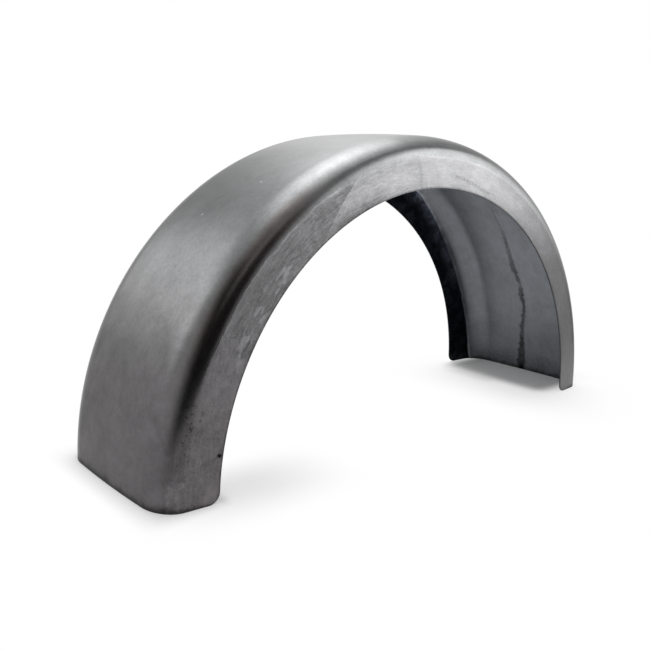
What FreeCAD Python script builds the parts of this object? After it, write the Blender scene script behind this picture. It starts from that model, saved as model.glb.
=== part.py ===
"""Motorcycle rear fender: a half ring of sheet steel that is open towards the wheel.

The cross-section is a slightly crowned top, two rounded shoulders and two skirts that lean
outwards. It is turned about the axle line as a full ring, welded along the crown's centreline,
cut in half with flat ends, on which the part stands, and trimmed to a round wheel opening.

Frame: X along the length, Y across the width, Z up. The ends lie on Z = 0 and the origin is
midway between them. All sizes are in millimetres and degrees.
"""
import FreeCAD, Part
import math
import os

import Sketcher
from FreeCAD import Vector

NODE = "fender_shell"

DIMENSIONS = (
    ("crown_radius", 345.0, "outer radius of the crown about the axle line"),
    ("axle_drop", 5.0, "depth of the crown's axle line below the cut ends"),
    ("overall_width", 200.0, "width across the free edges of the skirts"),
    ("sheet_thickness", 1.5, "thickness of the sheet"),
    ("shoulder_radius", 31.0, "outer radius of the bend between crown and skirt"),
    ("camber_radius", 1400.0, "outer radius of the crown across its width"),
    ("skirt_flare", 4.5, "angle by which each skirt leans outwards"),
    ("opening_radius", 283.0, "radius of the skirts' free edge"),
    ("corner_radius", 12.0, "rounding of the skirts' lower corners"),
    ("seam_width", 3.0, "width of the weld bead under the crown"),
    ("seam_height", 0.4, "height of the weld bead above the sheet"),
)

START, END, CENTRE = range(1, 4)
H_AXIS, V_AXIS = range(-1, -3, -1)
ORIGIN_POINT = (H_AXIS, START)


def make_sheet(doc):
    """Write the driving dimensions into a spreadsheet, one alias per row."""
    sheet = doc.addObject("Spreadsheet::Sheet", "dims")
    for row, (alias, value, meaning) in enumerate(DIMENSIONS, start=1):
        sheet.set("A%d" % row, alias)
        sheet.set("B%d" % row, str(value))
        sheet.set("C%d" % row, meaning)
        sheet.setAlias("B%d" % row, alias)
    doc.recompute()
    return sheet


def new_sketch(body, name, role):
    """Add a sketch to the body on the origin plane that has the given role."""
    sketch = body.newObject("Sketcher::SketchObject", name)
    plane = [item for item in body.Origin.OriginFeatures if item.Role == role][0]
    sketch.AttachmentSupport = [(plane, "")]
    sketch.MapMode = "FlatFace"
    return sketch


def section_plane(body, name):
    """Add a sketch across the ring whose horizontal axis is the axle line.

    Its heights are radii. They point down, so that the turned faces begin and end in the
    half of the ring that is cut away.
    """
    sketch = new_sketch(body, name, "YZ_Plane")
    sketch.AttachmentOffset = FreeCAD.Placement(Vector(), FreeCAD.Rotation(Vector(0, 0, 1), 180))
    sketch.setExpression(".AttachmentOffset.Base.y", "-dims.axle_drop")
    return sketch


def drive(sketch, name, expression, *size):
    """Add a named size to the sketch and bind it to the spreadsheet."""
    index = sketch.addConstraint(Sketcher.Constraint(*size))
    sketch.renameConstraint(index, name)
    sketch.setExpression("Constraints." + name, expression)


def line(start, end):
    """Straight edge between two sketch points."""
    return Part.LineSegment(Vector(start[0], start[1], 0), Vector(end[0], end[1], 0))


def arc(centre, radius, first, last):
    """Counter-clockwise arc between two angles in radians."""
    circle = Part.Circle(Vector(centre[0], centre[1], 0), Vector(0, 0, 1), radius)
    return Part.ArcOfCircle(circle, first, last)


def mirrored(point):
    """The same sketch point on the other side of the vertical axis."""
    return (-point[0], point[1])


def section_sketch(body, dims):
    """Cross-section of the shell.

    The sheet runs on past the free edge by two thicknesses, which the side cut trims off.
    """
    sketch = section_plane(body, "section")

    flare = math.radians(dims.skirt_flare)
    thick = dims.sheet_thickness
    bend = dims.shoulder_radius
    camber = dims.camber_radius
    edge = (dims.overall_width / 2, dims.opening_radius)
    foot = dims.opening_radius - 2 * thick
    camber_drop = camber - dims.crown_radius

    out = Vector(math.cos(flare), math.sin(flare), 0)
    up = Vector(-math.sin(flare), math.cos(flare), 0)
    base = Vector(edge[0], edge[1] + camber_drop, 0) - out * bend
    along = base.dot(up)
    rise = math.sqrt(along ** 2 - base.dot(base) + (camber - bend) ** 2) - along
    centre = base + up * rise
    lean = math.atan2(centre.y, centre.x)
    bend_at = (centre.x, centre.y - camber_drop)
    crown_at = (0.0, -camber_drop)

    def skirt_ends(radius):
        """Lower and upper end of the right skirt that meets a bend of this radius."""
        top = Vector(bend_at[0], bend_at[1], 0) + out * radius
        low = top - up * ((top.y - foot) / up.y)
        return (low.x, low.y), (top.x, top.y)

    low, high = skirt_ends(bend)
    low_in, high_in = skirt_ends(bend - thick)
    sketch.addGeometry([
        line(low, high),
        arc(bend_at, bend, flare, lean),
        arc(crown_at, camber, lean, math.pi - lean),
        arc(mirrored(bend_at), bend, math.pi - lean, math.pi - flare),
        line(mirrored(high), mirrored(low)),
        line(mirrored(low), mirrored(low_in)),
        line(mirrored(low_in), mirrored(high_in)),
        arc(mirrored(bend_at), bend - thick, math.pi - lean, math.pi - flare),
        arc(crown_at, camber - thick, lean, math.pi - lean),
        arc(bend_at, bend - thick, flare, lean),
        line(high_in, low_in),
        line(low_in, low),
    ], False)
    skirt_r, bend_r, crown, bend_l, skirt_l, foot_l = range(6)
    in_skirt_l, in_bend_l, in_crown, in_bend_r, in_skirt_r, foot_r = range(6, 12)
    edge_point = sketch.addGeometry(Part.Point(Vector(edge[0], edge[1], 0)), True)

    for rule in (
        ("Tangent", skirt_r, END, bend_r, START),
        ("Tangent", bend_r, END, crown, START),
        ("Tangent", crown, END, bend_l, START),
        ("Tangent", bend_l, END, skirt_l, START),
        ("Coincident", skirt_l, END, foot_l, START),
        ("Coincident", foot_l, END, in_skirt_l, START),
        ("Tangent", in_skirt_l, END, in_bend_l, END),
        ("Tangent", in_bend_l, START, in_crown, END),
        ("Tangent", in_crown, START, in_bend_r, END),
        ("Tangent", in_bend_r, START, in_skirt_r, START),
        ("Coincident", in_skirt_r, END, foot_r, START),
        ("Coincident", foot_r, END, skirt_r, START),
        ("Horizontal", foot_l),
        ("Horizontal", foot_r),
        ("Coincident", bend_r, CENTRE, in_bend_r, CENTRE),
        ("Coincident", bend_l, CENTRE, in_bend_l, CENTRE),
        ("Coincident", crown, CENTRE, in_crown, CENTRE),
        ("PointOnObject", crown, CENTRE, V_AXIS),
        ("Symmetric", bend_r, CENTRE, bend_l, CENTRE, V_AXIS),
        ("Symmetric", skirt_r, START, skirt_l, END, V_AXIS),
        ("Parallel", skirt_r, in_skirt_r),
        ("Parallel", skirt_l, in_skirt_l),
        ("PointOnObject", edge_point, START, skirt_r),
    ):
        sketch.addConstraint(Sketcher.Constraint(*rule))

    drive(sketch, "bend", "dims.shoulder_radius", "Radius", bend_r, bend)
    drive(sketch, "bend_inside", "dims.shoulder_radius - dims.sheet_thickness",
          "Radius", in_bend_r, bend - thick)
    drive(sketch, "camber", "dims.camber_radius", "Radius", crown, camber)
    drive(sketch, "camber_drop", "dims.camber_radius - dims.crown_radius",
          "DistanceY", crown, CENTRE, *ORIGIN_POINT, camber_drop)
    drive(sketch, "half_width", "dims.overall_width / 2",
          "DistanceX", *ORIGIN_POINT, edge_point, START, edge[0])
    drive(sketch, "edge_height", "dims.opening_radius",
          "DistanceY", *ORIGIN_POINT, edge_point, START, edge[1])
    drive(sketch, "foot_height", "dims.opening_radius - 2 * dims.sheet_thickness",
          "DistanceY", *ORIGIN_POINT, skirt_r, START, foot)
    drive(sketch, "flare", "90 deg + dims.skirt_flare * 1 deg",
          "Angle", skirt_r, math.pi / 2 + flare)
    return sketch


def seam_sketch(body, dims):
    """Cross-section of the weld bead that stands out of the crown's inner face.

    The bead is dressed flat, with sides at 45 degrees, and is rooted in the sheet.
    """
    sketch = section_plane(body, "seam_section")

    half = dims.seam_width / 2
    tall = dims.seam_height
    level = dims.crown_radius - dims.sheet_thickness
    root = level + dims.sheet_thickness / 2
    crest = half - tall
    corners = [(crest, level - tall), (half, level), (half, root)]
    corners += [mirrored(point) for point in reversed(corners)]
    edges = zip(corners, corners[1:] + corners[:1])
    sketch.addGeometry([line(start, end) for start, end in edges], False)
    side_r, root_r, top, root_l, side_l, face = range(6)

    for edge in range(6):
        sketch.addConstraint(Sketcher.Constraint("Coincident", edge, END, (edge + 1) % 6, START))
    for rule in (
        ("Vertical", root_r),
        ("Vertical", root_l),
        ("Horizontal", face),
        ("Equal", root_r, root_l),
        ("Symmetric", top, START, top, END, V_AXIS),
    ):
        sketch.addConstraint(Sketcher.Constraint(*rule))

    drive(sketch, "width", "dims.seam_width", "DistanceX", top, END, top, START, 2 * half)
    drive(sketch, "face_height", "dims.crown_radius - dims.sheet_thickness",
          "DistanceY", *ORIGIN_POINT, root_r, START, level)
    drive(sketch, "root_depth", "dims.sheet_thickness / 2",
          "DistanceY", root_r, START, root_r, END, root - level)
    drive(sketch, "height", "dims.seam_height",
          "DistanceY", side_r, START, side_r, END, tall)
    drive(sketch, "side_run_right", "dims.seam_height",
          "DistanceX", side_r, START, side_r, END, tall)
    drive(sketch, "side_run_left", "dims.seam_height",
          "DistanceX", side_l, START, side_l, END, tall)
    return sketch


def side_sketch(body, dims):
    """What is cut away in side view: the ring's lower half and the round wheel opening.

    The two are joined by small arcs that round the lower corners of the skirts.
    """
    sketch = new_sketch(body, "side_cut", "XZ_Plane")

    opening = dims.opening_radius
    corner = dims.corner_radius
    far = dims.crown_radius + dims.axle_drop
    deep = far + dims.axle_drop
    reach = math.sqrt((opening + corner) ** 2 - corner ** 2)
    tilt = math.atan2(corner, reach)
    sketch.addGeometry([
        line((-far, 0), (-reach, 0)),
        arc((-reach, corner), corner, -math.pi / 2, -tilt),
        arc((0, 0), opening, tilt, math.pi - tilt),
        arc((reach, corner), corner, math.pi + tilt, 1.5 * math.pi),
        line((reach, 0), (far, 0)),
        line((far, 0), (far, -deep)),
        line((far, -deep), (-far, -deep)),
        line((-far, -deep), (-far, 0)),
    ], False)
    floor_l, corner_l, rim, corner_r, floor_r, side_r, under, side_l = range(8)

    for rule in (
        ("Tangent", floor_l, END, corner_l, START),
        ("Tangent", corner_l, END, rim, END),
        ("Tangent", rim, START, corner_r, START),
        ("Tangent", corner_r, END, floor_r, START),
        ("Coincident", floor_r, END, side_r, START),
        ("Coincident", side_r, END, under, START),
        ("Coincident", under, END, side_l, START),
        ("Coincident", side_l, END, floor_l, START),
        ("Coincident", rim, CENTRE, *ORIGIN_POINT),
        ("PointOnObject", floor_l, START, H_AXIS),
        ("PointOnObject", floor_r, END, H_AXIS),
        ("Horizontal", floor_l),
        ("Horizontal", floor_r),
        ("Vertical", side_r),
        ("Vertical", side_l),
        ("Equal", corner_l, corner_r),
        ("Symmetric", under, START, under, END, V_AXIS),
    ):
        sketch.addConstraint(Sketcher.Constraint(*rule))

    drive(sketch, "opening", "dims.opening_radius", "Radius", rim, opening)
    drive(sketch, "corner", "dims.corner_radius", "Radius", corner_l, corner)
    drive(sketch, "length", "2 * (dims.crown_radius + dims.axle_drop)",
          "DistanceX", under, END, under, START, 2 * far)
    drive(sketch, "depth", "dims.crown_radius + 2 * dims.axle_drop",
          "DistanceY", side_r, END, side_r, START, deep)
    return sketch


def turn(body, name, sketch):
    """Turn a section about the axle line into a full ring."""
    feature = body.newObject("PartDesign::Revolution", name)
    feature.Profile = sketch
    feature.ReferenceAxis = (sketch, ["H_Axis"])
    sketch.Visibility = False
    return feature


def cut_through(body, name, sketch):
    """Cut a side outline through the whole width."""
    feature = body.newObject("PartDesign::Pocket", name)
    feature.Profile = sketch
    feature.SideType = "Symmetric"
    feature.Type = "ThroughAll"
    sketch.Visibility = False
    return feature


def check(doc, body, whole):
    """Stop when a feature failed, a sketch is loose or the side cut removed nothing."""
    for item in doc.Objects:
        if "Invalid" in item.State or "Error" in item.State:
            raise RuntimeError("%s failed to build" % item.Name)
        if item.isDerivedFrom("Sketcher::SketchObject") and not item.FullyConstrained:
            raise RuntimeError("%s is not fully constrained" % item.Name)
    if body.Shape.isNull() or not body.Shape.isValid():
        raise RuntimeError("the shell is not a valid shape")
    if len(body.Shape.Solids) != 1:
        raise RuntimeError("the shell is not one solid")
    if body.Shape.Volume >= whole.Shape.Volume:
        raise RuntimeError("the side cut removed nothing")


def main():
    """Build the shell and write its file."""
    doc = FreeCAD.newDocument("motorcycle_rear_fender")
    dims = make_sheet(doc)
    body = doc.addObject("PartDesign::Body", NODE)
    body.Label = NODE

    turn(body, "spun_shell", section_sketch(body, dims))
    doc.recompute()
    whole = turn(body, "weld_seam", seam_sketch(body, dims))
    doc.recompute()
    cut_through(body, "side_trim", side_sketch(body, dims))
    doc.recompute()
    check(doc, body, whole)

    os.makedirs("parts", exist_ok=True)
    body.Shape.exportStep("parts/%s.step" % NODE)
    print("%s: volume %.0f mm3, %d faces" % (NODE, body.Shape.Volume, len(body.Shape.Faces)))


main()
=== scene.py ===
import math
from typing import NamedTuple

import bpy
import numpy as np
from bpy.props import FloatProperty, FloatVectorProperty, IntProperty, PointerProperty
from bpy.types import Operator, Panel, PropertyGroup
from mathutils import Matrix, Vector


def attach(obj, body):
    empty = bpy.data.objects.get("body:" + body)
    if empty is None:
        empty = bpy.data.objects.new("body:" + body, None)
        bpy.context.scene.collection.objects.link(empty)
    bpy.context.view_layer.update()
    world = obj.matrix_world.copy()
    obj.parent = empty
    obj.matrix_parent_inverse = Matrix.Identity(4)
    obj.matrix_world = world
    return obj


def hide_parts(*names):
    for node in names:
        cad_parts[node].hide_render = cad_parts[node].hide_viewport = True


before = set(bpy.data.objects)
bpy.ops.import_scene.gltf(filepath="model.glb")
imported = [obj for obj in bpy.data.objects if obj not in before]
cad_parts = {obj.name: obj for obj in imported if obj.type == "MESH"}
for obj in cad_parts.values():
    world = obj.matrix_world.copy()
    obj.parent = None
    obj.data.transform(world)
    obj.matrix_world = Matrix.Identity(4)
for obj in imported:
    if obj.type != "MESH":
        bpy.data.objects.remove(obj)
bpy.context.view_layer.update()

bl_info = {
    "name": "Motorcycle Rear Fender",
    "version": (1, 0, 0),
    "blender": (4, 5, 0),
    "location": "View3D > Sidebar > Fender",
    "description": "Builds a bare steel motorcycle rear fender and a studio round it",
    "category": "Add Mesh",
}

SHELL = "fender_shell"

# names of the values that the meshes carry for their materials
LAY, MARGIN, KEEP, GLOW = "lay", "margin", "keep", "glow"

# grid of the sheet, and the share of the free edge that each rounded corner takes
SHOULDER_STEPS, CROWN_STEPS, SKIRT_STEPS = 26, 40, 14
CORNER_STEPS = 10
CORNER_SHARE = 0.02

# pitch of the weld's ripples in metres, and their slow drift in radians a metre
RIPPLE_PITCH = 0.0042
RIPPLE_DRIFT = 61
BEVEL_ANGLE = math.radians(50)


class Zone(NamedTuple):
    """Mark or painted shade on the sheet: where it fades in and out, in metres, and its change of
    tone.

    Its width is counted from the crown's middle, or for the polish in from the free edge. A
    share of it may rest past its end along the arc.
    """

    arc_in: tuple
    arc_out: tuple
    width_in: tuple
    width_out: tuple
    tone: float
    rest: float = 0.0


# painted shade along a crease high on the near shoulder
CREASE_SHADE = Zone(arc_in=(0.475, 0.500), arc_out=(0.525, 0.550), width_in=(0.070, 0.076),
              width_out=(0.086, 0.092), tone=-0.24)
POCKS = Zone(arc_in=(0.03, 0.06), arc_out=(0.10, 0.14), width_in=(0.094, 0.100),
             width_out=(0.112, 0.120), tone=-0.60)
POLISH = Zone(arc_in=(0.14, 0.18), arc_out=(0.27, 0.31), width_in=(0.002, 0.005),
              width_out=(0.014, 0.020), tone=0.58)
# the next two zones are painted dark reflections on the near shoulder: past the top, and down the
# right-hand side to the foot
BROW_SHADE = Zone(arc_in=(0.56, 0.63), arc_out=(0.66, 0.74), width_in=(0.077, 0.084),
            width_out=(0.087, 0.094), tone=-0.52, rest=0.45)
LEG_SHADE = Zone(arc_in=(0.82, 0.96), arc_out=(0.99, 1.06), width_in=(0.094, 0.100),
           width_out=(0.106, 0.112), tone=-0.55, rest=0.2)

# spots by place along the arc and across, with the sizes between which they fade
PIMPLES = ((0.2896, 0.0125), (0.3455, -0.0244))
PIMPLE_SIZE = (0.0007, 0.0018)
NICK = (0.0622, -0.1400)
NICK_SIZE = (0.0014, 0.0032)
SCRATCHED_PLACE = 0.215

# the sanded skirts: cells per metre, the slanted end of the ground part, a scuff and a stroke
SKIRT_CELLS = 17.0
GROUND_SLOPE = 2.29
GROUND_END = (0.6510, 0.6535)
FRESH_START = (0.6515, 0.6540)
SCUFF_SLOPE, SCUFF_PLACE = 0.105, 0.0655
STROKE_PLACE = 0.5085

# the painted shade inside starts furthest from the crown's middle at one place on each side of
# the top, and from there its border moves in by the square of the distance along the arc
INNER_SHADE_PLACE = 0.385
INNER_SHADE_FAR, INNER_SHADE_NEAR, INNER_SHADE_FALL = 0.1055, 0.096, 0.34

# the steel's tint at grazing angles, and the heights of its waves and marks
EDGE_TINT = (0.74, 0.74, 0.74, 1.0)
WAVE_HEIGHT = 0.0005
RELIEF_HEIGHT = 0.00008


class Card(NamedTuple):
    """Soft card on the studio dome: angles in degrees, level, and the shares at full level."""

    bearing: float
    height: float
    level: float
    half_width: float
    full_width: float
    half_height: float
    full_height: float


DARK_FRONT = Card(bearing=-143, height=23, level=0.04, half_width=42, full_width=0.4,
                  half_height=43, full_height=0.45)
LEFT_CARD = Card(bearing=-49, height=37, level=3.45, half_width=31, full_width=0.45,
                 half_height=27, full_height=0.0)
KEY_SKIRT = Card(bearing=36, height=49, level=2.8, half_width=20, full_width=0.0,
                 half_height=28, full_height=0.0)
KEY_CARD = Card(bearing=32, height=78, level=8.6, half_width=34, full_width=0.05,
                half_height=40, full_height=0.0)
RIGHT_CARD = Card(bearing=127, height=33, level=6.6, half_width=40, full_width=0.0,
                  half_height=27, full_height=0.4)
RIGHT_GAP = Card(bearing=157, height=65, level=1.05, half_width=60, full_width=0.6,
                 half_height=7, full_height=0.05)
CARDS = (DARK_FRONT, LEFT_CARD, KEY_SKIRT, KEY_CARD, RIGHT_CARD, RIGHT_GAP)
DOME_RADIUS = 1.3
DOME_LEVEL = 1.105
DOME_COLUMNS, DOME_ROWS = 144, 49
DOME_FOOT, DOME_TOP = -0.02, math.pi / 2 - 0.01


class ShadowPatch(NamedTuple):
    """Patch of floor that keeps the shadow: place, half sizes, shares at full strength."""

    x: float
    y: float
    half_x: float
    full_x: float
    half_y: float
    full_y: float
    strength: float


RIGHT_CHANNEL = ShadowPatch(x=0.328, y=0.004, half_x=0.096, full_x=0.50, half_y=0.114,
                            full_y=0.62, strength=1.0)
FAR_CHANNEL = ShadowPatch(x=0.290, y=0.030, half_x=0.085, full_x=0.30, half_y=0.085,
                          full_y=0.30, strength=0.66)
RIGHT_HALO = ShadowPatch(x=0.300, y=-0.020, half_x=0.160, full_x=0.20, half_y=0.220,
                         full_y=0.20, strength=0.38)
LEFT_CONTACT = ShadowPatch(x=-0.312, y=0.0, half_x=0.056, full_x=0.60, half_y=0.124,
                           full_y=0.74, strength=0.80)
LEFT_HALO = ShadowPatch(x=-0.250, y=-0.088, half_x=0.140, full_x=0.08, half_y=0.076,
                        full_y=0.10, strength=0.42)
SHADOW_PATCHES = (RIGHT_CHANNEL, FAR_CHANNEL, RIGHT_HALO, LEFT_CONTACT, LEFT_HALO)
FLOOR_HALF = 6.0
FLOOR_LINES = 281
FLOOR_PINCH = 4.0


class Lamp(NamedTuple):
    """Distant lamp over the floor: name, direction and spread, with angles in degrees."""

    name: str
    bearing: float
    height: float
    spread: float


KEY_LAMP = Lamp("key_lamp", bearing=42, height=62, spread=70)
FILL_LAMP = Lamp("fill_lamp", bearing=-75, height=42, spread=40)
SENSOR_WIDTH = 36.0
CLIP_START = 0.01
WHITE = (1.0, 1.0, 1.0, 1.0)


class FenderSizes(PropertyGroup):
    """Sizes of the formed sheet, in metres and radians."""

    crown_radius: FloatProperty(
        name="Crown radius", description="Outer radius of the crown about the axle line",
        default=0.345, unit="LENGTH")
    axle_drop: FloatProperty(
        name="Axle drop", description="Depth of the axle line below the cut ends",
        default=0.005, unit="LENGTH")
    overall_width: FloatProperty(
        name="Overall width", description="Width across the free edges of the skirts",
        default=0.200, unit="LENGTH")
    sheet: FloatProperty(
        name="Sheet", description="Thickness of the sheet", default=0.0015, unit="LENGTH")
    shoulder_drop: FloatProperty(
        name="Shoulder drop", description="Where the bend ends on the skirt, below the corner",
        default=0.0235, unit="LENGTH")
    shoulder_run: FloatProperty(
        name="Shoulder run", description="Where the bend starts on the crown, inside the corner",
        default=0.0315, unit="LENGTH")
    camber_radius: FloatProperty(
        name="Camber radius", description="Outer radius of the crown across its width",
        default=1.400, unit="LENGTH")
    flare: FloatProperty(
        name="Skirt flare", description="Angle by which each skirt leans outwards",
        default=math.radians(4.5), subtype="ANGLE")
    opening_radius: FloatProperty(
        name="Opening radius", description="Radius of the skirts' free edge",
        default=0.283, unit="LENGTH")
    corner_radius: FloatProperty(
        name="Corner radius", description="Rounding of the skirts' lower corners",
        default=0.012, unit="LENGTH")
    seam_width: FloatProperty(
        name="Seam width", description="Width of the weld bead under the crown",
        default=0.003, unit="LENGTH")
    seam_height: FloatProperty(
        name="Seam height", description="Height of the weld bead", default=0.0004, unit="LENGTH")
    edge_round: FloatProperty(
        name="Edge rounding", description="Rounding of the cut edges",
        default=0.00025, unit="LENGTH")
    steps: IntProperty(
        name="Steps", description="Grid steps along the arc", default=260, min=40)


class FenderFinish(PropertyGroup):
    """Colours and gloss of the bare steel, and the colours of its painted shade and reflections.
    """

    crown_colour: FloatVectorProperty(
        name="Crown steel", description="Smooth steel of the crown and shoulders",
        default=(0.1100, 0.1121, 0.1135), subtype="COLOR", size=3)
    # colour of the painted dark reflection low on the bend of the shoulders
    bend_shade_colour: FloatVectorProperty(
        name="Bend shade", description="Warm tint of the painted dark reflection low on the bend of the shoulders",
        default=(0.1190, 0.1080, 0.1055), subtype="COLOR", size=3)
    # tint of a painted reflection on the outside towards the left-hand end
    foot_reflection_tint: FloatVectorProperty(
        name="Foot reflection tint", description="Tint of a painted reflection on the outside towards the left-hand end",
        default=(1.0, 0.935, 0.955), subtype="COLOR", size=3)
    skirt_colour: FloatVectorProperty(
        name="Sanded steel", description="Sanded steel of the skirts",
        default=(0.1268, 0.1268, 0.1298), subtype="COLOR", size=3)
    inside_colour: FloatVectorProperty(
        name="Inner steel", description="Oiled steel on the inside",
        default=(0.192, 0.202, 0.219), subtype="COLOR", size=3)
    # colour of the painted shade on the inside of the skirts
    inner_shade_colour: FloatVectorProperty(
        name="Inner shade", description="Blue-black painted shade on the inside of the skirts",
        default=(0.0190, 0.0215, 0.0270), subtype="COLOR", size=3)
    crown_roughness: FloatProperty(
        name="Crown roughness", description="Gloss of the crown and shoulders",
        default=0.24, subtype="FACTOR")
    skirt_roughness: FloatProperty(
        name="Skirt roughness", description="Gloss of the sanded skirts",
        default=0.29, subtype="FACTOR")
    inside_roughness: FloatProperty(
        name="Inner roughness", description="Gloss of the inside",
        default=0.42, subtype="FACTOR")


class FenderStage(PropertyGroup):
    """Camera, lamps and floor."""

    focal: FloatProperty(
        name="Focal length", description="Lens for a 36 mm sensor, in millimetres",
        default=42.04, unit="CAMERA")
    yaw: FloatProperty(
        name="Yaw", description="Direction of view from +Y towards +X",
        default=math.radians(41.749), subtype="ANGLE")
    pitch: FloatProperty(
        name="Pitch", description="Angle of view below the horizon",
        default=math.radians(12.469), subtype="ANGLE")
    roll: FloatProperty(
        name="Roll", description="Turn of the camera about its view",
        default=math.radians(1.640), subtype="ANGLE")
    place: FloatVectorProperty(
        name="Camera place", description="Where the camera stands",
        default=(-0.6433, -0.6410, 0.3124), subtype="XYZ", unit="LENGTH", size=3)
    floor_colour: FloatVectorProperty(
        name="Floor", description="Colour of the floor",
        default=(0.92, 0.92, 0.92), subtype="COLOR", size=3)
    floor_lift: FloatProperty(
        name="Floor lift", description="Brightness added to the floor as seen",
        default=0.06, subtype="FACTOR")
    key_level: FloatProperty(
        name="Key", description="Strength of the overhead lamp", default=2.0, min=0.0)
    fill_level: FloatProperty(
        name="Fill", description="Strength of the left lamp", default=0.2, min=0.0)
    ambient: FloatProperty(
        name="Ambient", description="Strength of the light from all round", default=0.45, min=0.0)


def half_section(sizes, depth):
    """Half of the cross-section, from the skirt's upper end to the crown's middle.

    The skirt is a straight line that leans out by the flare, and the crown is an arc of the
    camber circle. Between them runs a conic that leaves both lines along them, from a point
    below the corner where they meet to a point inside it. A depth moves each point inwards at a
    right angle to the outer face. Returns radius from the axle line and half width.
    """
    camber, drop = sizes.camber_radius, sizes.camber_radius - sizes.crown_radius
    lean = np.array([-math.sin(sizes.flare), math.cos(sizes.flare)])
    edge = np.array([sizes.overall_width / 2, sizes.opening_radius + drop])
    along = edge @ lean
    corner = edge + lean * (math.sqrt(along ** 2 - edge @ edge + camber ** 2) - along)
    low = corner - lean * sizes.shoulder_drop
    turn = math.atan2(corner[1], corner[0]) + sizes.shoulder_run / camber
    high = camber * np.array([math.cos(turn), math.sin(turn)])
    flat = np.array([math.sin(turn), -math.cos(turn)])
    reach = np.linalg.solve(np.stack([lean, -flat], axis=1), high - low)[0]
    middle = low + lean * reach
    weight = math.cos((math.pi / 2 - sizes.flare) / 2)
    share = np.linspace(0, 1, SHOULDER_STEPS)[:, None]
    parts = ((1 - share) ** 2, 2 * weight * share * (1 - share), share ** 2)
    bend = (parts[0] * low + parts[1] * middle + parts[2] * high) / sum(parts)
    sweep = np.linspace(turn, math.pi / 2, CROWN_STEPS)[1:, None]
    crown = camber * np.concatenate([np.cos(sweep), np.sin(sweep)], axis=1)
    slope = np.gradient(bend, axis=0)
    slope[0], slope[-1] = lean, -flat
    normal = np.stack([slope[:, 1], -slope[:, 0]], axis=1)
    normal = normal / np.linalg.norm(normal, axis=1, keepdims=True)
    outline = np.concatenate([bend - depth * normal, crown * (1 - depth / camber)])
    return outline[:, 1] - drop, outline[:, 0]


def free_edge(sizes, share):
    """Side view of the skirt's free edge, for shares of the way from the left to the right end.

    It is the opening circle about the origin, and near each end a smaller circle that touches
    both the opening and the floor from inside the sheet.
    """
    opening, corner = sizes.opening_radius, sizes.corner_radius
    reach = math.sqrt((opening + corner) ** 2 - corner ** 2)
    tilt = math.atan2(corner, reach)
    fold = np.minimum(share, 1 - share)
    side = np.where(share < 0.5, -1.0, 1.0)
    in_bend = np.clip(fold / CORNER_SHARE, 0, 1)
    in_swing = np.clip((fold - CORNER_SHARE) / (0.5 - CORNER_SHARE), 0, 1)
    bend = math.pi / 2 + (math.pi / 2 - tilt) * in_bend
    swing = tilt + (math.pi / 2 - tilt) * in_swing
    in_corner = fold < CORNER_SHARE
    far = np.where(in_corner, reach + corner * np.cos(bend), opening * np.cos(swing))
    high = np.where(in_corner, corner - corner * np.sin(bend), opening * np.sin(swing))
    return side * far, high


def arc_shares(steps):
    """Shares of the way round the arc, closer together at the two rounded corners."""
    corner = np.linspace(0, CORNER_SHARE, CORNER_STEPS + 1)[:-1]
    middle = np.linspace(CORNER_SHARE, 1 - CORNER_SHARE, steps)
    return np.concatenate([corner, middle, 1 - corner[::-1]])


def bead_height(sizes, width, share):
    """Height of the weld bead: a low arch across, with small ripples along it."""
    across = np.clip(1 - (2 * width / sizes.seam_width) ** 2, 0, 1)
    metres = share * math.pi * sizes.crown_radius
    ripple = (0.82 + 0.12 * np.sin(metres * 2 * math.pi / RIPPLE_PITCH)
              + 0.06 * np.sin(metres * RIPPLE_DRIFT))
    return sizes.seam_height * across[:, None] * ripple[None, :]


def skin(sizes, share, depth):
    """One face of the sheet as a grid of section points by arc points.

    Crown and shoulder points turn about the axle line from floor to floor. Skirt points lie on
    straight lines from the shoulder's edge to the free edge in side view, and their width
    follows from their radius by the flare. Also returns the distance from the crown's middle
    along the section.
    """
    radius, width = half_section(sizes, depth)
    turned = np.repeat(radius[:, None], len(share), axis=1)
    if depth > 0:
        turned = turned - bead_height(sizes, width, share)
    start = np.arcsin(sizes.axle_drop / turned)
    angle = start + share[None, :] * (math.pi - 2 * start)
    x = -turned * np.cos(angle)
    z = turned * np.sin(angle) - sizes.axle_drop
    y = np.repeat(width[:, None], len(share), axis=1)

    edge_x, edge_z = free_edge(sizes, share)
    mix = np.linspace(1, 0, SKIRT_STEPS)[:-1, None]
    skirt_x = x[:1] + (edge_x - x[:1]) * mix
    skirt_z = z[:1] + (edge_z - z[:1]) * mix
    skirt_r = np.hypot(skirt_x, skirt_z + sizes.axle_drop)
    skirt_y = width[0] + (radius[0] - skirt_r) * math.tan(sizes.flare)

    half = np.stack([np.concatenate([skirt_x, x]), np.concatenate([skirt_y, y]),
                     np.concatenate([skirt_z, z])], axis=-1)
    step = np.linalg.norm(np.diff(half, axis=0), axis=-1)
    span = np.concatenate([np.cumsum(step[::-1], axis=0)[::-1], np.zeros((1, len(share)))])
    near = half * np.array([1, -1, 1])
    return np.concatenate([near, half[-2::-1]]), np.concatenate([-span, span[-2::-1]])


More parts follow.
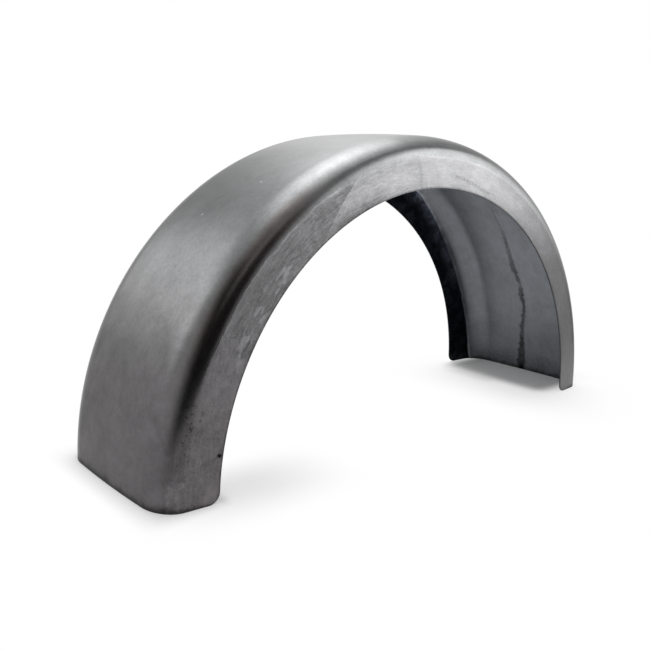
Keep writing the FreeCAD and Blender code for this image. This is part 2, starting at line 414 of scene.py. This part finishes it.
def shell_grid(sizes):
    """Closed sheet: outer face, inner face, free edges and cut ends, as vertices and quads.

    The two faces are joined into a loop round the section, whose neighbours along the arc make
    the walls, and each end is capped by quads between the faces.
    """
    share = arc_shares(sizes.steps)
    outer, outer_span = skin(sizes, share, 0.0)
    inner, inner_span = skin(sizes, share, sizes.sheet)
    lanes, columns = outer.shape[:2]
    loop = np.concatenate([outer, inner[::-1]])
    total = len(loop)
    index = np.arange(total * columns).reshape(total, columns)
    ahead = np.roll(index, -1, axis=0)
    walls = np.stack([index[:, :-1], index[:, 1:], ahead[:, 1:], ahead[:, :-1]], axis=-1)
    out_lane = index[:lanes]
    in_lane = index[lanes:][::-1]

    def cap(column, flip):
        quads = np.stack([out_lane[:-1, column], out_lane[1:, column],
                          in_lane[1:, column], in_lane[:-1, column]], axis=-1)
        return quads[:, ::-1] if flip else quads

    faces = np.concatenate([walls.reshape(-1, 4), cap(0, False), cap(-1, True)])
    arc = np.repeat((share * math.pi * sizes.crown_radius)[None, :], total, axis=0)
    span = np.concatenate([outer_span, inner_span[::-1]])
    side = np.repeat(np.repeat([0.0, 1.0], lanes)[:, None], columns, axis=1)
    margin = np.abs(span[:1]) - np.abs(span)
    layers = {LAY: np.stack([arc, span, side], axis=-1), MARGIN: margin}
    return loop.reshape(-1, 3), faces, layers


def mesh_from_grid(name, points, quads, layers):
    """Put whole arrays of points, quads and named point values into a new smooth mesh object."""
    mesh = bpy.data.meshes.new(name)
    mesh.vertices.add(len(points))
    mesh.vertices.foreach_set("co", points.astype(np.float32).ravel())
    mesh.loops.add(quads.size)
    mesh.loops.foreach_set("vertex_index", quads.astype(np.int32).ravel())
    mesh.polygons.add(len(quads))
    mesh.polygons.foreach_set("loop_start", np.arange(0, quads.size, 4, dtype=np.int32))
    mesh.polygons.foreach_set("use_smooth", np.ones(len(quads), dtype=bool))
    mesh.update(calc_edges=True)
    for key, values in layers.items():
        flat = values.astype(np.float32).ravel()
        if flat.size > len(points):
            mesh.attributes.new(key, "FLOAT_VECTOR", "POINT").data.foreach_set("vector", flat)
        else:
            mesh.attributes.new(key, "FLOAT", "POINT").data.foreach_set("value", flat)
    mesh.validate()
    piece = bpy.data.objects.new(name, mesh)
    bpy.context.scene.collection.objects.link(piece)
    return piece


def is_socket(value):
    """Whether a value is a node's socket rather than a constant."""
    return isinstance(value, bpy.types.NodeSocket)


class Nodes:
    """Short calls that add nodes to one node tree and return their outputs."""

    def __init__(self, tree):
        self.tree = tree
        self.tree.nodes.clear()

    def add(self, kind, inputs=None, **settings):
        """New node, with each input linked to a socket or set to a constant."""
        node = self.tree.nodes.new(kind)
        for key, value in settings.items():
            setattr(node, key, value)
        for key, value in (inputs or {}).items():
            if is_socket(value):
                self.tree.links.new(value, node.inputs[key])
            else:
                node.inputs[key].default_value = value
        return node

    def attribute(self, name, output="Fac"):
        """Value that the mesh carries under a name."""
        return self.add("ShaderNodeAttribute", attribute_name=name).outputs[output]

    def calc(self, operation, first, second=0.0):
        """One operation on two values."""
        return self.add("ShaderNodeMath", {0: first, 1: second}, operation=operation).outputs[0]

    def total(self, *values):
        """All values added up."""
        result = values[0]
        for value in values[1:]:
            result = self.calc("ADD", result, value)
        return result

    def times(self, *values):
        """All values multiplied."""
        result = values[0]
        for value in values[1:]:
            result = self.calc("MULTIPLY", result, value)
        return result

    def rest(self, value):
        """What a share leaves of one."""
        return self.calc("SUBTRACT", 1.0, value)

    def gap(self, value, place):
        """Distance of a value from a place."""
        return self.calc("ABSOLUTE", self.calc("SUBTRACT", value, place))

    def swing(self, noise, amount):
        """Noise about nought, scaled to an amount."""
        return self.times(self.calc("SUBTRACT", noise, 0.5), amount)

    def noise(self, vector, scale=1.0, detail=3.0, rough=0.55, distortion=0.0):
        """Cloudy noise between nought and one."""
        node = self.add("ShaderNodeTexNoise", {
            "Vector": vector, "Scale": scale, "Detail": detail, "Roughness": rough,
            "Distortion": distortion})
        return node.outputs["Fac"]

    def stretch(self, vector, scale, place=(0.0, 0.0, 0.0), turn=0.0):
        """Coordinates scaled by axis, moved, and turned in the sheet."""
        node = self.add("ShaderNodeMapping", {
            "Vector": vector, "Scale": scale, "Location": place, "Rotation": (0.0, 0.0, turn)})
        return node.outputs[0]

    def band(self, value, low, high, start=0.0, end=1.0, smooth=True):
        """Change from the start to the end while a value goes from low to high."""
        node = self.add("ShaderNodeMapRange", {
            "Value": value, "From Min": low, "From Max": high, "To Min": start, "To Max": end},
            interpolation_type="SMOOTHSTEP" if smooth else "LINEAR")
        return node.outputs[0]

    def fade(self, value, low, high):
        """One below low, nought above high."""
        return self.band(value, low, high, 1.0, 0.0)

    def window(self, value, rise, fall):
        """Nought, one between the rise and the fall, and nought again."""
        return self.times(self.band(value, *rise), self.fade(value, *fall))

    def dim(self, mask, level):
        """One off the mask and the level on it."""
        return self.band(mask, 0.0, 1.0, 1.0, level, smooth=False)

    def zone(self, zone, arc, width):
        """Mask of a zone, from the nodes for the place along the arc and across the sheet."""
        return self.times(
            self.band(arc, *zone.arc_in), self.band(arc, *zone.arc_out, 1.0, zone.rest),
            self.window(width, zone.width_in, zone.width_out))

    def spot(self, vector, place, inner, outer):
        """Mask of a round spot at a place on the sheet."""
        away = self.add("ShaderNodeVectorMath", {0: vector, 1: (*place, 0.0)},
                        operation="DISTANCE")
        return self.fade(away.outputs["Value"], inner, outer)

    def mix(self, share, first, second):
        """Value between two values, by a share."""
        return self.add("ShaderNodeMix", {0: share, 2: first, 3: second}).outputs[0]

    def blend(self, share, first, second):
        """Colour between two colours, by a share."""
        ends = {6: first, 7: second}
        ends = {key: end if is_socket(end) else (*end, 1.0) for key, end in ends.items()}
        return self.add("ShaderNodeMix", {0: share, **ends}, data_type="RGBA").outputs[2]

    def scaled(self, colour, factor):
        """Colour multiplied by a value or another colour."""
        node = self.add("ShaderNodeVectorMath", {0: colour, 1: factor}, operation="MULTIPLY")
        return node.outputs[0]

    def seen(self):
        """One for what is looked at, directly, in a reflection or through glass."""
        path = self.add("ShaderNodeLightPath").outputs
        seen = self.calc("MAXIMUM", path["Is Camera Ray"], path["Is Glossy Ray"])
        return self.calc("MAXIMUM", seen, path["Is Transmission Ray"])


def material_nodes(name):
    """New empty node material, and the calls that fill it."""
    material = bpy.data.materials.new(name)
    material.use_nodes = True
    return material, Nodes(material.node_tree)


class Sheet:
    """Nodes that say where a point lies on the sheet, in metres, and the noises of its marks."""

    def __init__(self, n, length):
        self.length = length
        self.lay = n.attribute(LAY, "Vector")
        self.arc, self.span, side = n.add("ShaderNodeSeparateXYZ", {0: self.lay}).outputs
        self.across = n.calc("ABSOLUTE", self.span)
        self.margin = n.attribute(MARGIN)
        self.ends = n.calc("MINIMUM", self.arc, n.calc("SUBTRACT", length, self.arc))
        self.inside = n.band(side, 0.4, 0.6)
        self.outside = n.rest(self.inside)
        self.near = n.times(self.outside, n.fade(self.span, -0.02, 0.0))

        # from broad clouds to fine specks, then the strokes that run along or across the arc
        self.cloud = n.noise(self.lay, scale=22.0, detail=4.0, rough=0.6)
        self.blotch = n.noise(self.lay, scale=55.0, detail=5.0, rough=0.62, distortion=0.6)
        self.mottle = n.noise(self.lay, scale=260.0, detail=5.0, rough=0.72, distortion=0.5)
        self.speck = n.noise(self.lay, scale=520.0, detail=1.0)
        self.streak = n.noise(n.stretch(self.lay, (16.0, 520.0, 1.0)), rough=0.6)
        self.dash = n.noise(n.stretch(self.lay, (130.0, 620.0, 1.0)), detail=2.0)
        self.grain = n.noise(n.stretch(self.lay, (500.0, 1400.0, 1.0), turn=0.35), detail=2.0)
        self.swirl = n.noise(n.stretch(self.lay, (60.0, 420.0, 1.0), turn=0.22), detail=4.0,
                             rough=0.68, distortion=0.8)
        self.rubbed = n.noise(n.stretch(self.lay, (70.0, 420.0, 1.0), turn=-0.2), detail=4.0,
                              rough=0.7)
        self.buffed = n.noise(n.stretch(self.lay, (45.0, 150.0, 1.0), turn=0.8), rough=0.6)


def skirt_border(n, s):
    """Where the sanded skirts start, as a height, a mask and a pale rim.

    They start at an uneven border low on the shoulder, which is softer at the left-hand foot.
    """
    climb = n.band(s.arc, 0.09, 0.18, start=0.0980, end=0.1046)
    past = n.total(n.calc("SUBTRACT", s.across, climb), n.swing(s.cloud, 0.006),
                   n.times(n.swing(s.blotch, 0.005), n.band(s.arc, 0.40, 0.52, 1.0, 0.15)))
    skirt = n.band(past, 0.0, n.band(s.arc, 0.07, 0.17, start=0.0100, end=0.0016))
    rim = n.window(past, (-0.0006, 0.0008), (0.0022, 0.0042))
    return climb, skirt, n.times(rim, n.band(s.arc, 0.12, 0.24), n.fade(s.arc, 0.36, 0.44))


def skirt_tone(n, s, calm):
    """Tone of the sanded skirts: cells and strokes, and the marks on the near one."""
    warp = n.add("ShaderNodeCombineXYZ", {0: n.swing(s.cloud, 0.07), 1: n.swing(s.blotch, 0.06)})
    moved = n.add("ShaderNodeVectorMath", {0: s.lay, 1: warp.outputs[0]})
    cells = n.add("ShaderNodeTexVoronoi", {"Vector": moved.outputs[0], "Scale": SKIRT_CELLS})
    cell = n.add("ShaderNodeSeparateColor", {0: cells.outputs["Color"]}).outputs[0]
    coat = n.total(n.swing(s.blotch, 0.75), n.times(n.swing(s.swirl, 1.4), calm),
                   n.swing(s.mottle, 0.80), n.swing(s.grain, 0.7))

    # a slanted line ends the ground part, and the steel past it is fresher
    slant = n.total(s.arc, n.times(s.across, GROUND_SLOPE))
    ground = n.times(n.fade(slant, *GROUND_END), n.band(s.arc, 0.29, 0.35), s.near)
    tip = n.times(ground, n.band(slant, 0.610, 0.648), n.fade(s.across, 0.116, 0.126))
    reach = n.total(n.band(s.arc, 0.45, 0.52, start=1.0, end=0.3),
                    n.band(s.arc, 0.60, 0.72, end=0.6), n.band(s.arc, 0.76, 0.88, end=-1.0))
    edge = n.band(s.margin, 0.0, n.band(s.arc, 0.42, 0.46, start=0.026, end=0.012),
                  start=n.band(s.arc, 0.42, 0.46, end=0.6))
    fresh = n.times(n.band(slant, *FRESH_START), reach, n.band(s.across, 0.106, 0.124), edge,
                    s.near)
    dull = n.times(n.fade(s.across, 0.106, 0.118), n.band(s.arc, 0.50, 0.66), s.near)

    # a scuff runs along the right-hand side and one stroke crosses the top
    trail = n.gap(n.total(s.across, n.times(s.arc, -SCUFF_SLOPE)), SCUFF_PLACE)
    scuff = n.times(n.fade(trail, 0.0008, 0.0036), n.window(s.arc, (0.555, 0.575), (0.640, 0.660)),
                    n.band(s.mottle, 0.43, 0.54), s.near)
    wander = n.gap(n.total(s.arc, n.swing(s.blotch, 0.016)), STROKE_PLACE)
    stroke = n.times(n.fade(wander, 0.0010, 0.0055), n.band(s.across, 0.106, 0.112), s.near)
    right_foot = n.times(n.band(s.arc, 0.98, 1.06), s.near)
    return n.total(1.0, n.times(coat, n.band(s.arc, 0.36, 0.52, 1.0, 0.5)), n.swing(cell, 0.22),
                   n.times(ground, -0.18), n.times(tip, -0.16), n.times(fresh, 0.28),
                   n.times(dull, -0.06), n.times(scuff, -0.36), n.times(stroke, -0.13),
                   n.band(s.arc, 0.08, 0.15, start=-0.08, end=0.0), n.times(right_foot, 0.40))


def crown_tone(n, s, pits, scratches):
    """Tone of the smooth crown and shoulders, with painted shade along a crease on the near
    shoulder and a painted highlight on the far half of the crown.
    """
    # painted shade along a crease, broken up by mottle
    crease = n.times(n.zone(CREASE_SHADE, s.arc, s.across), n.band(s.mottle, 0.35, 0.60), s.near)
    # painted highlight on the far half of the crown, left of the top
    painted_highlight = n.times(n.band(s.span, 0.0, 0.040), n.window(s.arc, (0.165, 0.205), (0.25, 0.30)))
    return n.total(1.0, n.times(crease, CREASE_SHADE.tone), n.times(painted_highlight, 0.14),
                   n.swing(s.cloud, 0.55), n.swing(s.streak, 0.20),
                   n.times(n.swing(s.blotch, 0.36), n.band(s.arc, 0.09, 0.25, 1.9, 1.0)),
                   n.swing(s.mottle, 0.50), n.swing(s.grain, 0.32), n.times(pits, -0.30),
                   n.times(scratches, -0.26))


def wear_and_shade_tone(n, s):
    """Change of tone on the near outside, from the left-hand foot round to the right: marks of
    wear, with painted shade on the shoulder and along the free edge.
    """
    worn = n.total(s.across, n.swing(s.blotch, 0.010), n.times(s.arc, -0.06))
    patch = n.times(n.fade(n.total(s.arc, n.swing(s.blotch, 0.02)), 0.029, 0.034),
                    n.window(worn, (0.0895, 0.0925), (0.104, 0.108)),
                    n.band(s.mottle, 0.35, 0.65, start=0.3), 0.4)
    chafe = n.times(n.fade(n.total(s.arc, n.swing(s.mottle, 0.02)), 0.020, 0.030),
                    n.window(s.margin, (0.003, 0.006), (0.011, 0.017)), 0.22)
    pocks = n.times(n.band(s.mottle, 0.53, 0.63), n.zone(POCKS, s.arc, s.across), POCKS.tone)
    rub = n.times(n.band(s.rubbed, 0.52, 0.68), n.fade(s.arc, 0.06, 0.16),
                  n.band(s.across, 0.086, 0.098), 0.22)
    # painted dark reflection low on the shoulder by the left-hand foot
    smear_shade = n.times(n.fade(s.arc, 0.10, 0.22), n.band(s.across, 0.084, 0.093),
                    n.fade(n.total(s.across, n.swing(s.mottle, 0.008)), 0.104, 0.111), -0.22)
    polish = n.times(n.band(s.buffed, 0.52, 0.60), n.zone(POLISH, s.arc, s.margin), POLISH.tone)
    # painted shade along the free edge on the left-hand side of the top
    shade = n.times(n.fade(s.margin, 0.002, 0.014), n.band(s.arc, 0.33, 0.37),
                    n.band(s.arc, 0.41, 0.47, 1.0, 0.1), -0.40)
    # painted dark reflections on the shoulder past the top and down the right-hand side to the
    # foot
    brow_shade = n.times(n.zone(BROW_SHADE, s.arc, s.across), BROW_SHADE.tone)
    leg_shade = n.times(n.zone(LEG_SHADE, s.arc, s.across), LEG_SHADE.tone)
    return n.times(n.total(patch, chafe, pocks, rub, smear_shade, polish, shade, brow_shade, leg_shade), s.near)


def inner_tone(n, s):
    """Tone of the inside, and the mask of the painted shade on its skirts.

    The weld is a dark uneven line along the crown. Each skirt is darkened by painted shade from
    a wavy border to its free edge, with a pale crust along the border. The shade is blotchy,
    and lighter next to the border.
    """
    coarse = n.noise(n.stretch(s.lay, (26.0, 0.0, 0.0), place=(-1.2, 0.0, 0.0)), rough=0.7)
    fine = n.noise(n.stretch(s.lay, (150.0, 60.0, 0.0)), rough=0.7)
    wide = n.total(n.band(coarse, 0.36, 0.66, start=0.0002, end=0.0056, smooth=False),
                   n.swing(fine, 0.0078), n.band(s.arc, 1.02, 1.06, end=0.0020))
    middle = n.total(n.band(s.arc, 0.78, 0.89, start=-0.0035, end=0.0048),
                     n.swing(coarse, 0.008),
                     n.band(n.gap(s.arc, 0.965), 0.015, 0.060, start=-0.006, end=0.0))
    away = n.gap(s.span, middle)
    weld = n.times(n.fade(n.calc("SUBTRACT", away, wide), -0.0014, 0.0026),
                   n.band(n.total(n.band(s.arc, 0.82, 0.94), fine), 0.48, 0.80),
                   n.band(s.blotch, 0.38, 0.58, start=0.66, end=1.06),
                   n.band(s.arc, 0.84, 1.0, start=0.6))
    smudge = n.times(n.fade(away, 0.002, 0.009), n.band(s.mottle, 0.46, 0.62))

    # painted shade on the inner skirts, from a wavy border out to the free edge
    crest = n.calc("SUBTRACT", n.gap(s.arc, s.length / 2), INNER_SHADE_PLACE)
    border = n.calc("SUBTRACT", INNER_SHADE_FAR, n.times(crest, crest, INNER_SHADE_FALL))
    border = n.calc("MAXIMUM", border, INNER_SHADE_NEAR)
    beyond = n.total(n.calc("SUBTRACT", s.across, border), n.swing(s.blotch, 0.008))
    inner_shade = n.band(beyond, 0.0, 0.0025)
    crust = n.times(n.window(beyond, (-0.0030, -0.0008), (0.0, 0.0014)),
                    n.band(s.arc, 0.84, 0.96, start=0.35))
    # the painted shade is blotchy, and lighter next to its border
    shade_fade = n.times(n.band(s.blotch, 0.40, 0.68, start=0.7, end=2.2),
                   n.band(beyond, 0.004, 0.024, start=n.band(s.arc, 0.88, 0.97, 5.0, 1.0)))
    foot = n.fade(n.total(s.ends, n.swing(s.mottle, 0.06)), 0.004, 0.030)
    # painted shade on the inner shoulders and skirts, away from the cut ends
    hollow_shade = n.times(n.band(s.across, 0.070, 0.082), n.band(s.ends, 0.06, 0.20))
    tone = n.total(1.0, n.swing(s.cloud, 0.5), n.swing(s.blotch, 0.40), n.swing(s.mottle, 0.40),
                   n.swing(s.streak, 0.25), n.times(weld, -0.66), crust, n.times(smudge, -0.22),
                   n.times(foot, -0.26))
    tone = n.times(tone, n.dim(inner_shade, shade_fade), n.band(s.ends, 0.0, 0.20, start=0.74),
                   n.band(s.ends, 0.15, 0.36, start=1.0, end=1.12), n.dim(hollow_shade, 0.82))
    return tone, inner_shade


def bare_steel(finish, length):
    """Bare sheet steel: brushed crown, sanded skirts and an oiled inside with a dark weld.

    Its colour also holds painted shade and reflections, laid on by place.
    """
    material, n = material_nodes("bare_steel")
    s = Sheet(n, length)
    climb, skirt, rim = skirt_border(n, s)
    calm = n.band(s.arc, 0.07, 0.19, start=0.30)
    marked = n.times(n.band(n.gap(s.arc, SCRATCHED_PLACE), 0.02, 0.07, start=1.0, end=0.25),
                     n.band(s.across, 0.03, 0.06, start=1.0, end=0.35))
    pits = n.times(n.band(s.speck, 0.63, 0.70), marked)
    scratches = n.times(n.band(s.dash, 0.60, 0.70), marked)
    pimples = n.calc("MAXIMUM", *(n.spot(s.lay, place, *PIMPLE_SIZE) for place in PIMPLES))
    nick = n.spot(s.lay, NICK, *NICK_SIZE)

    outer = n.mix(skirt, crown_tone(n, s, pits, scratches), skirt_tone(n, s, calm))
    outer = n.total(outer, n.times(rim, 0.34), wear_and_shade_tone(n, s), n.times(pimples, 0.9),
                    n.times(nick, -0.8))
    lip = n.fade(n.total(s.margin, n.swing(s.mottle, 0.003)), 0.0004, 0.0028)
    inner, inner_shade = inner_tone(n, s)
    # darker and rougher within a few millimetres of the cut ends
    near_cut_ends = n.times(n.fade(n.total(s.ends, n.swing(s.blotch, 0.012)), 0.001, 0.008),
                    n.calc("MAXIMUM", s.inside, n.band(s.arc, 0.90, 1.0, 1.0, 0.8)))
    # painted dark reflection on the bare bend of the shoulders, which darkens the steel there by a
    # quarter
    bend_end = n.total(n.calc("SUBTRACT", s.across, climb), n.band(s.arc, 0.29, 0.50, end=0.0070))
    bend = n.times(n.band(s.across, 0.080, 0.091), n.fade(bend_end, -0.0035, 0.0005),
                   n.band(s.ends, 0.015, 0.080))
    bend_shade = n.times(bend, n.rest(skirt), s.outside)
    tone = n.mix(s.inside, n.times(outer, n.dim(lip, 0.55)), inner)
    tone = n.times(tone, n.dim(near_cut_ends, 0.42), n.dim(bend_shade, 0.74))

    # the painted dark reflection takes a warmer colour on the left-hand part of the bend
    warm_bend_shade = n.times(bend, n.window(s.arc, (0.10, 0.19), (0.30, 0.39)))
    colour = n.blend(warm_bend_shade, finish.crown_colour, finish.bend_shade_colour)
    colour = n.blend(skirt, colour, finish.skirt_colour)
    # tint of a painted reflection on the outside towards the left-hand end
    tint = n.blend(n.band(s.arc, 0.06, 0.27), finish.foot_reflection_tint, WHITE[:3])
    # the inside's steel, with the painted shade's colour on the skirts
    lining = n.blend(inner_shade, finish.inside_colour, finish.inner_shade_colour)
    colour = n.blend(s.inside, n.scaled(colour, tint), lining)

    rough = n.mix(skirt, finish.crown_roughness, finish.skirt_roughness)
    rough = n.mix(s.inside, rough, finish.inside_roughness)
    rough = n.total(rough, n.swing(s.cloud, 0.10), n.times(near_cut_ends, 0.10))

    wave = n.add("ShaderNodeBump", {
        "Height": n.noise(s.lay, scale=16.0, detail=2.0), "Distance": WAVE_HEIGHT})
    relief = n.total(n.times(skirt, s.swirl, calm, 0.7), n.times(skirt, s.mottle, 0.8),
                     n.times(skirt, s.grain, 0.5), n.times(s.streak, 0.10),
                     n.times(s.mottle, 0.15), n.times(pits, -0.3), n.times(pimples, 3.5))
    bump = n.add("ShaderNodeBump", {
        "Height": relief, "Distance": RELIEF_HEIGHT, "Normal": wave.outputs[0]})

    steel = n.add("ShaderNodeBsdfPrincipled", {
        "Base Color": n.scaled(colour, tone), "Metallic": 1.0, "Roughness": rough,
        "Specular Tint": EDGE_TINT, "Normal": bump.outputs[0]})
    n.add("ShaderNodeOutputMaterial", {"Surface": steel.outputs[0]})
    return material


def pale_floor(colour, lift):
    """Matt pale floor that shows as white, with the object's shadow kept near it."""
    material, n = material_nodes("pale_floor")
    seen = n.seen()
    matt = n.add("ShaderNodeBsdfDiffuse", {"Color": (*colour, 1.0)})
    glow = n.add("ShaderNodeEmission", {"Strength": n.times(seen, lift)})
    shaded = n.add("ShaderNodeAddShader", {0: matt.outputs[0], 1: glow.outputs[0]})
    plain = n.add("ShaderNodeEmission", {"Strength": seen})
    white = n.add("ShaderNodeMixShader", {0: seen, 1: matt.outputs[0], 2: plain.outputs[0]})
    both = n.add("ShaderNodeMixShader", {
        0: n.attribute(KEEP), 1: white.outputs[0], 2: shaded.outputs[0]})
    n.add("ShaderNodeOutputMaterial", {"Surface": both.outputs[0]})
    material.cycles.emission_sampling = "NONE"
    return material


def glowing_dome(name):
    """Plain light of the level that the dome's points carry."""
    material, n = material_nodes(name)
    lit = n.add("ShaderNodeEmission", {"Strength": n.attribute(GLOW)})
    n.add("ShaderNodeOutputMaterial", {"Surface": lit.outputs[0]})
    material.cycles.emission_sampling = "NONE"
    return material


class FENDER_OT_shell(Operator):
    """Build the one-piece fender shell and its steel"""

    bl_idname = "fender.shell"
    bl_label = "Fender Shell"

    def execute(self, context):
        sizes = context.scene.fender_sizes
        piece = mesh_from_grid("fender_sheet", *shell_grid(sizes))
        soften = piece.modifiers.new("edge_round", "BEVEL")
        soften.width = sizes.edge_round
        soften.segments = 2
        soften.limit_method = "ANGLE"
        soften.angle_limit = BEVEL_ANGLE
        soften.harden_normals = True
        piece.data.materials.append(
            bare_steel(context.scene.fender_finish, math.pi * sizes.crown_radius))
        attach(piece, "root")
        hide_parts(SHELL)
        return {"FINISHED"}


def heading(bearing, height):
    """Unit direction of a bearing, counted from +Y towards +X, and a height angle."""
    return Vector((math.sin(bearing) * math.cos(height), math.cos(bearing) * math.cos(height),
                   math.sin(height)))


def sun_lamp(lamp, level):
    """Broad distant lamp that lights the floor evenly and casts soft shadows."""
    data = bpy.data.lights.new(lamp.name, "SUN")
    data.energy = level
    data.angle = math.radians(lamp.spread)
    source = heading(math.radians(lamp.bearing), math.radians(lamp.height))
    sun = bpy.data.objects.new(lamp.name, data)
    sun.rotation_euler = (-source).to_track_quat("-Z", "Y").to_euler()
    sun.visible_glossy = False
    bpy.context.scene.collection.objects.link(sun)


def soft_step(distance, inner, outer=1.0):
    """One within the inner distance, nought beyond the outer one, smooth between."""
    share = np.clip((outer - distance) / (outer - inner), 0, 1)
    return share * share * (3 - 2 * share)


def surround(name, cards, radius, base):
    """Studio dome over the floor that shows only in reflections.

    Points lie on a half sphere by bearing and height angle. Its glow is the base level, over
    which each card lays its own level: full within a share of its half width and half height
    and fading out at them.
    """
    turn, rise = np.meshgrid(np.linspace(-math.pi, math.pi, DOME_COLUMNS + 1)[:-1],
                             np.linspace(DOME_FOOT, DOME_TOP, DOME_ROWS))
    way = np.stack([np.sin(turn) * np.cos(rise), np.cos(turn) * np.cos(rise), np.sin(rise)], -1)
    glow = np.full(turn.shape, base)
    for card in cards:
        bearing, height = math.radians(card.bearing), math.radians(card.height)
        middle = np.array(heading(bearing, height))
        right = np.array([math.cos(bearing), -math.sin(bearing), 0.0])
        up = np.cross(right, middle)
        sideways = np.abs(np.arctan2(way @ right, way @ middle)) / math.radians(card.half_width)
        upwards = np.abs(np.arcsin(np.clip(way @ up, -1, 1))) / math.radians(card.half_height)
        glow += ((card.level - glow) * soft_step(sideways, card.full_width)
                 * soft_step(upwards, card.full_height))
    index = np.arange(turn.size).reshape(turn.shape)
    ahead = np.roll(index, -1, axis=1)
    quads = np.stack([index[:-1], index[1:], ahead[1:], ahead[:-1]], axis=-1)
    dome = mesh_from_grid(name, way.reshape(-1, 3) * radius, quads.reshape(-1, 4), {GLOW: glow})
    dome.data.materials.append(glowing_dome(name))
    dome.visible_camera = False
    dome.visible_diffuse = False
    dome.visible_shadow = False
    dome.visible_transmission = False
    return dome


def floor_sheet(name, patches, half):
    """Flat floor whose grid is fine near the object.

    A point's place is the hyperbolic sine of its grid share, scaled to the half size. Its keep
    value is a patch's strength inside it and nought away from them, where the floor is plain
    white.
    """
    share = np.linspace(-1, 1, FLOOR_LINES)
    line = half * np.sinh(FLOOR_PINCH * share) / math.sinh(FLOOR_PINCH)
    x, y = np.meshgrid(line, line)
    keep = np.zeros(x.shape)
    for patch in patches:
        inside = (soft_step(np.abs(x - patch.x) / patch.half_x, patch.full_x)
                  * soft_step(np.abs(y - patch.y) / patch.half_y, patch.full_y))
        keep = np.maximum(keep, patch.strength * inside)
    index = np.arange(x.size).reshape(x.shape)
    quads = np.stack([index[:-1, :-1], index[:-1, 1:], index[1:, 1:], index[1:, :-1]], axis=-1)
    points = np.stack([x, y, np.zeros(x.shape)], -1).reshape(-1, 3)
    return mesh_from_grid(name, points, quads.reshape(-1, 4), {KEEP: keep})


def studio_world(ambient):
    """World that is white where it is looked at and lights the floor more dimly."""
    world = bpy.data.worlds.new("studio")
    world.use_nodes = True
    n = Nodes(world.node_tree)
    low = n.add("ShaderNodeBackground", {"Color": WHITE, "Strength": ambient})
    white = n.add("ShaderNodeBackground", {"Color": WHITE, "Strength": 1.0})
    either = n.add("ShaderNodeMixShader", {0: n.seen(), 1: low.outputs[0], 2: white.outputs[0]})
    n.add("ShaderNodeOutputWorld", {"Surface": either.outputs[0]})
    return world


def photo_camera(stage):
    """Camera that stands and looks as the stage's values say."""
    ahead = heading(stage.yaw, -stage.pitch)
    level = Vector((math.cos(stage.yaw), -math.sin(stage.yaw), 0.0))
    upright = level.cross(ahead)
    right = level * math.cos(stage.roll) + upright * math.sin(stage.roll)
    up = upright * math.cos(stage.roll) - level * math.sin(stage.roll)
    data = bpy.data.cameras.new("camera")
    data.sensor_width = SENSOR_WIDTH
    data.lens = stage.focal
    data.clip_start = CLIP_START
    camera = bpy.data.objects.new("camera", data)
    turned = Matrix((right, up, -ahead)).transposed().to_4x4()
    camera.matrix_world = Matrix.Translation(stage.place) @ turned
    bpy.context.scene.collection.objects.link(camera)
    return camera


class FENDER_OT_stage(Operator):
    """Set up the floor, the lamps, the cards and the camera"""

    bl_idname = "fender.stage"
    bl_label = "Studio"

    def execute(self, context):
        scene = context.scene
        stage = scene.fender_stage
        floor = floor_sheet("floor", SHADOW_PATCHES, FLOOR_HALF)
        floor.data.materials.append(pale_floor(stage.floor_colour, stage.floor_lift))
        sun_lamp(KEY_LAMP, stage.key_level)
        sun_lamp(FILL_LAMP, stage.fill_level)
        dome = surround("surround", CARDS, DOME_RADIUS, DOME_LEVEL)
        scene.world = studio_world(stage.ambient)
        scene.camera = photo_camera(stage)
        scene.view_settings.view_transform = "Standard"
        return {"FINISHED"}


class FENDER_PT_panel(Panel):
    """Sidebar panel with the fender's operators and values"""

    bl_idname = "FENDER_PT_panel"
    bl_label = "Fender"
    bl_space_type = "VIEW_3D"
    bl_region_type = "UI"
    bl_category = "Fender"

    def draw(self, context):
        layout = self.layout
        for operator in (FENDER_OT_shell, FENDER_OT_stage):
            layout.operator(operator.bl_idname)
        for group in GROUPS:
            box = layout.box()
            for key in GROUPS[group].__annotations__:
                box.prop(getattr(context.scene, group), key)


GROUPS = {"fender_sizes": FenderSizes, "fender_finish": FenderFinish, "fender_stage": FenderStage}
CLASSES = (*GROUPS.values(), FENDER_OT_shell, FENDER_OT_stage, FENDER_PT_panel)


def register():
    """Register the classes and hang the value groups on the scene."""
    for cls in CLASSES:
        bpy.utils.register_class(cls)
    for group, cls in GROUPS.items():
        setattr(bpy.types.Scene, group, PointerProperty(type=cls))


def unregister():
    """Take the value groups and the classes away again."""
    for group in GROUPS:
        delattr(bpy.types.Scene, group)
    for cls in reversed(CLASSES):
        bpy.utils.unregister_class(cls)


def main():
    """Build the fender and its stage."""
    register()
    bpy.ops.fender.shell()
    bpy.ops.fender.stage()


if __name__ == "__main__":
    main()
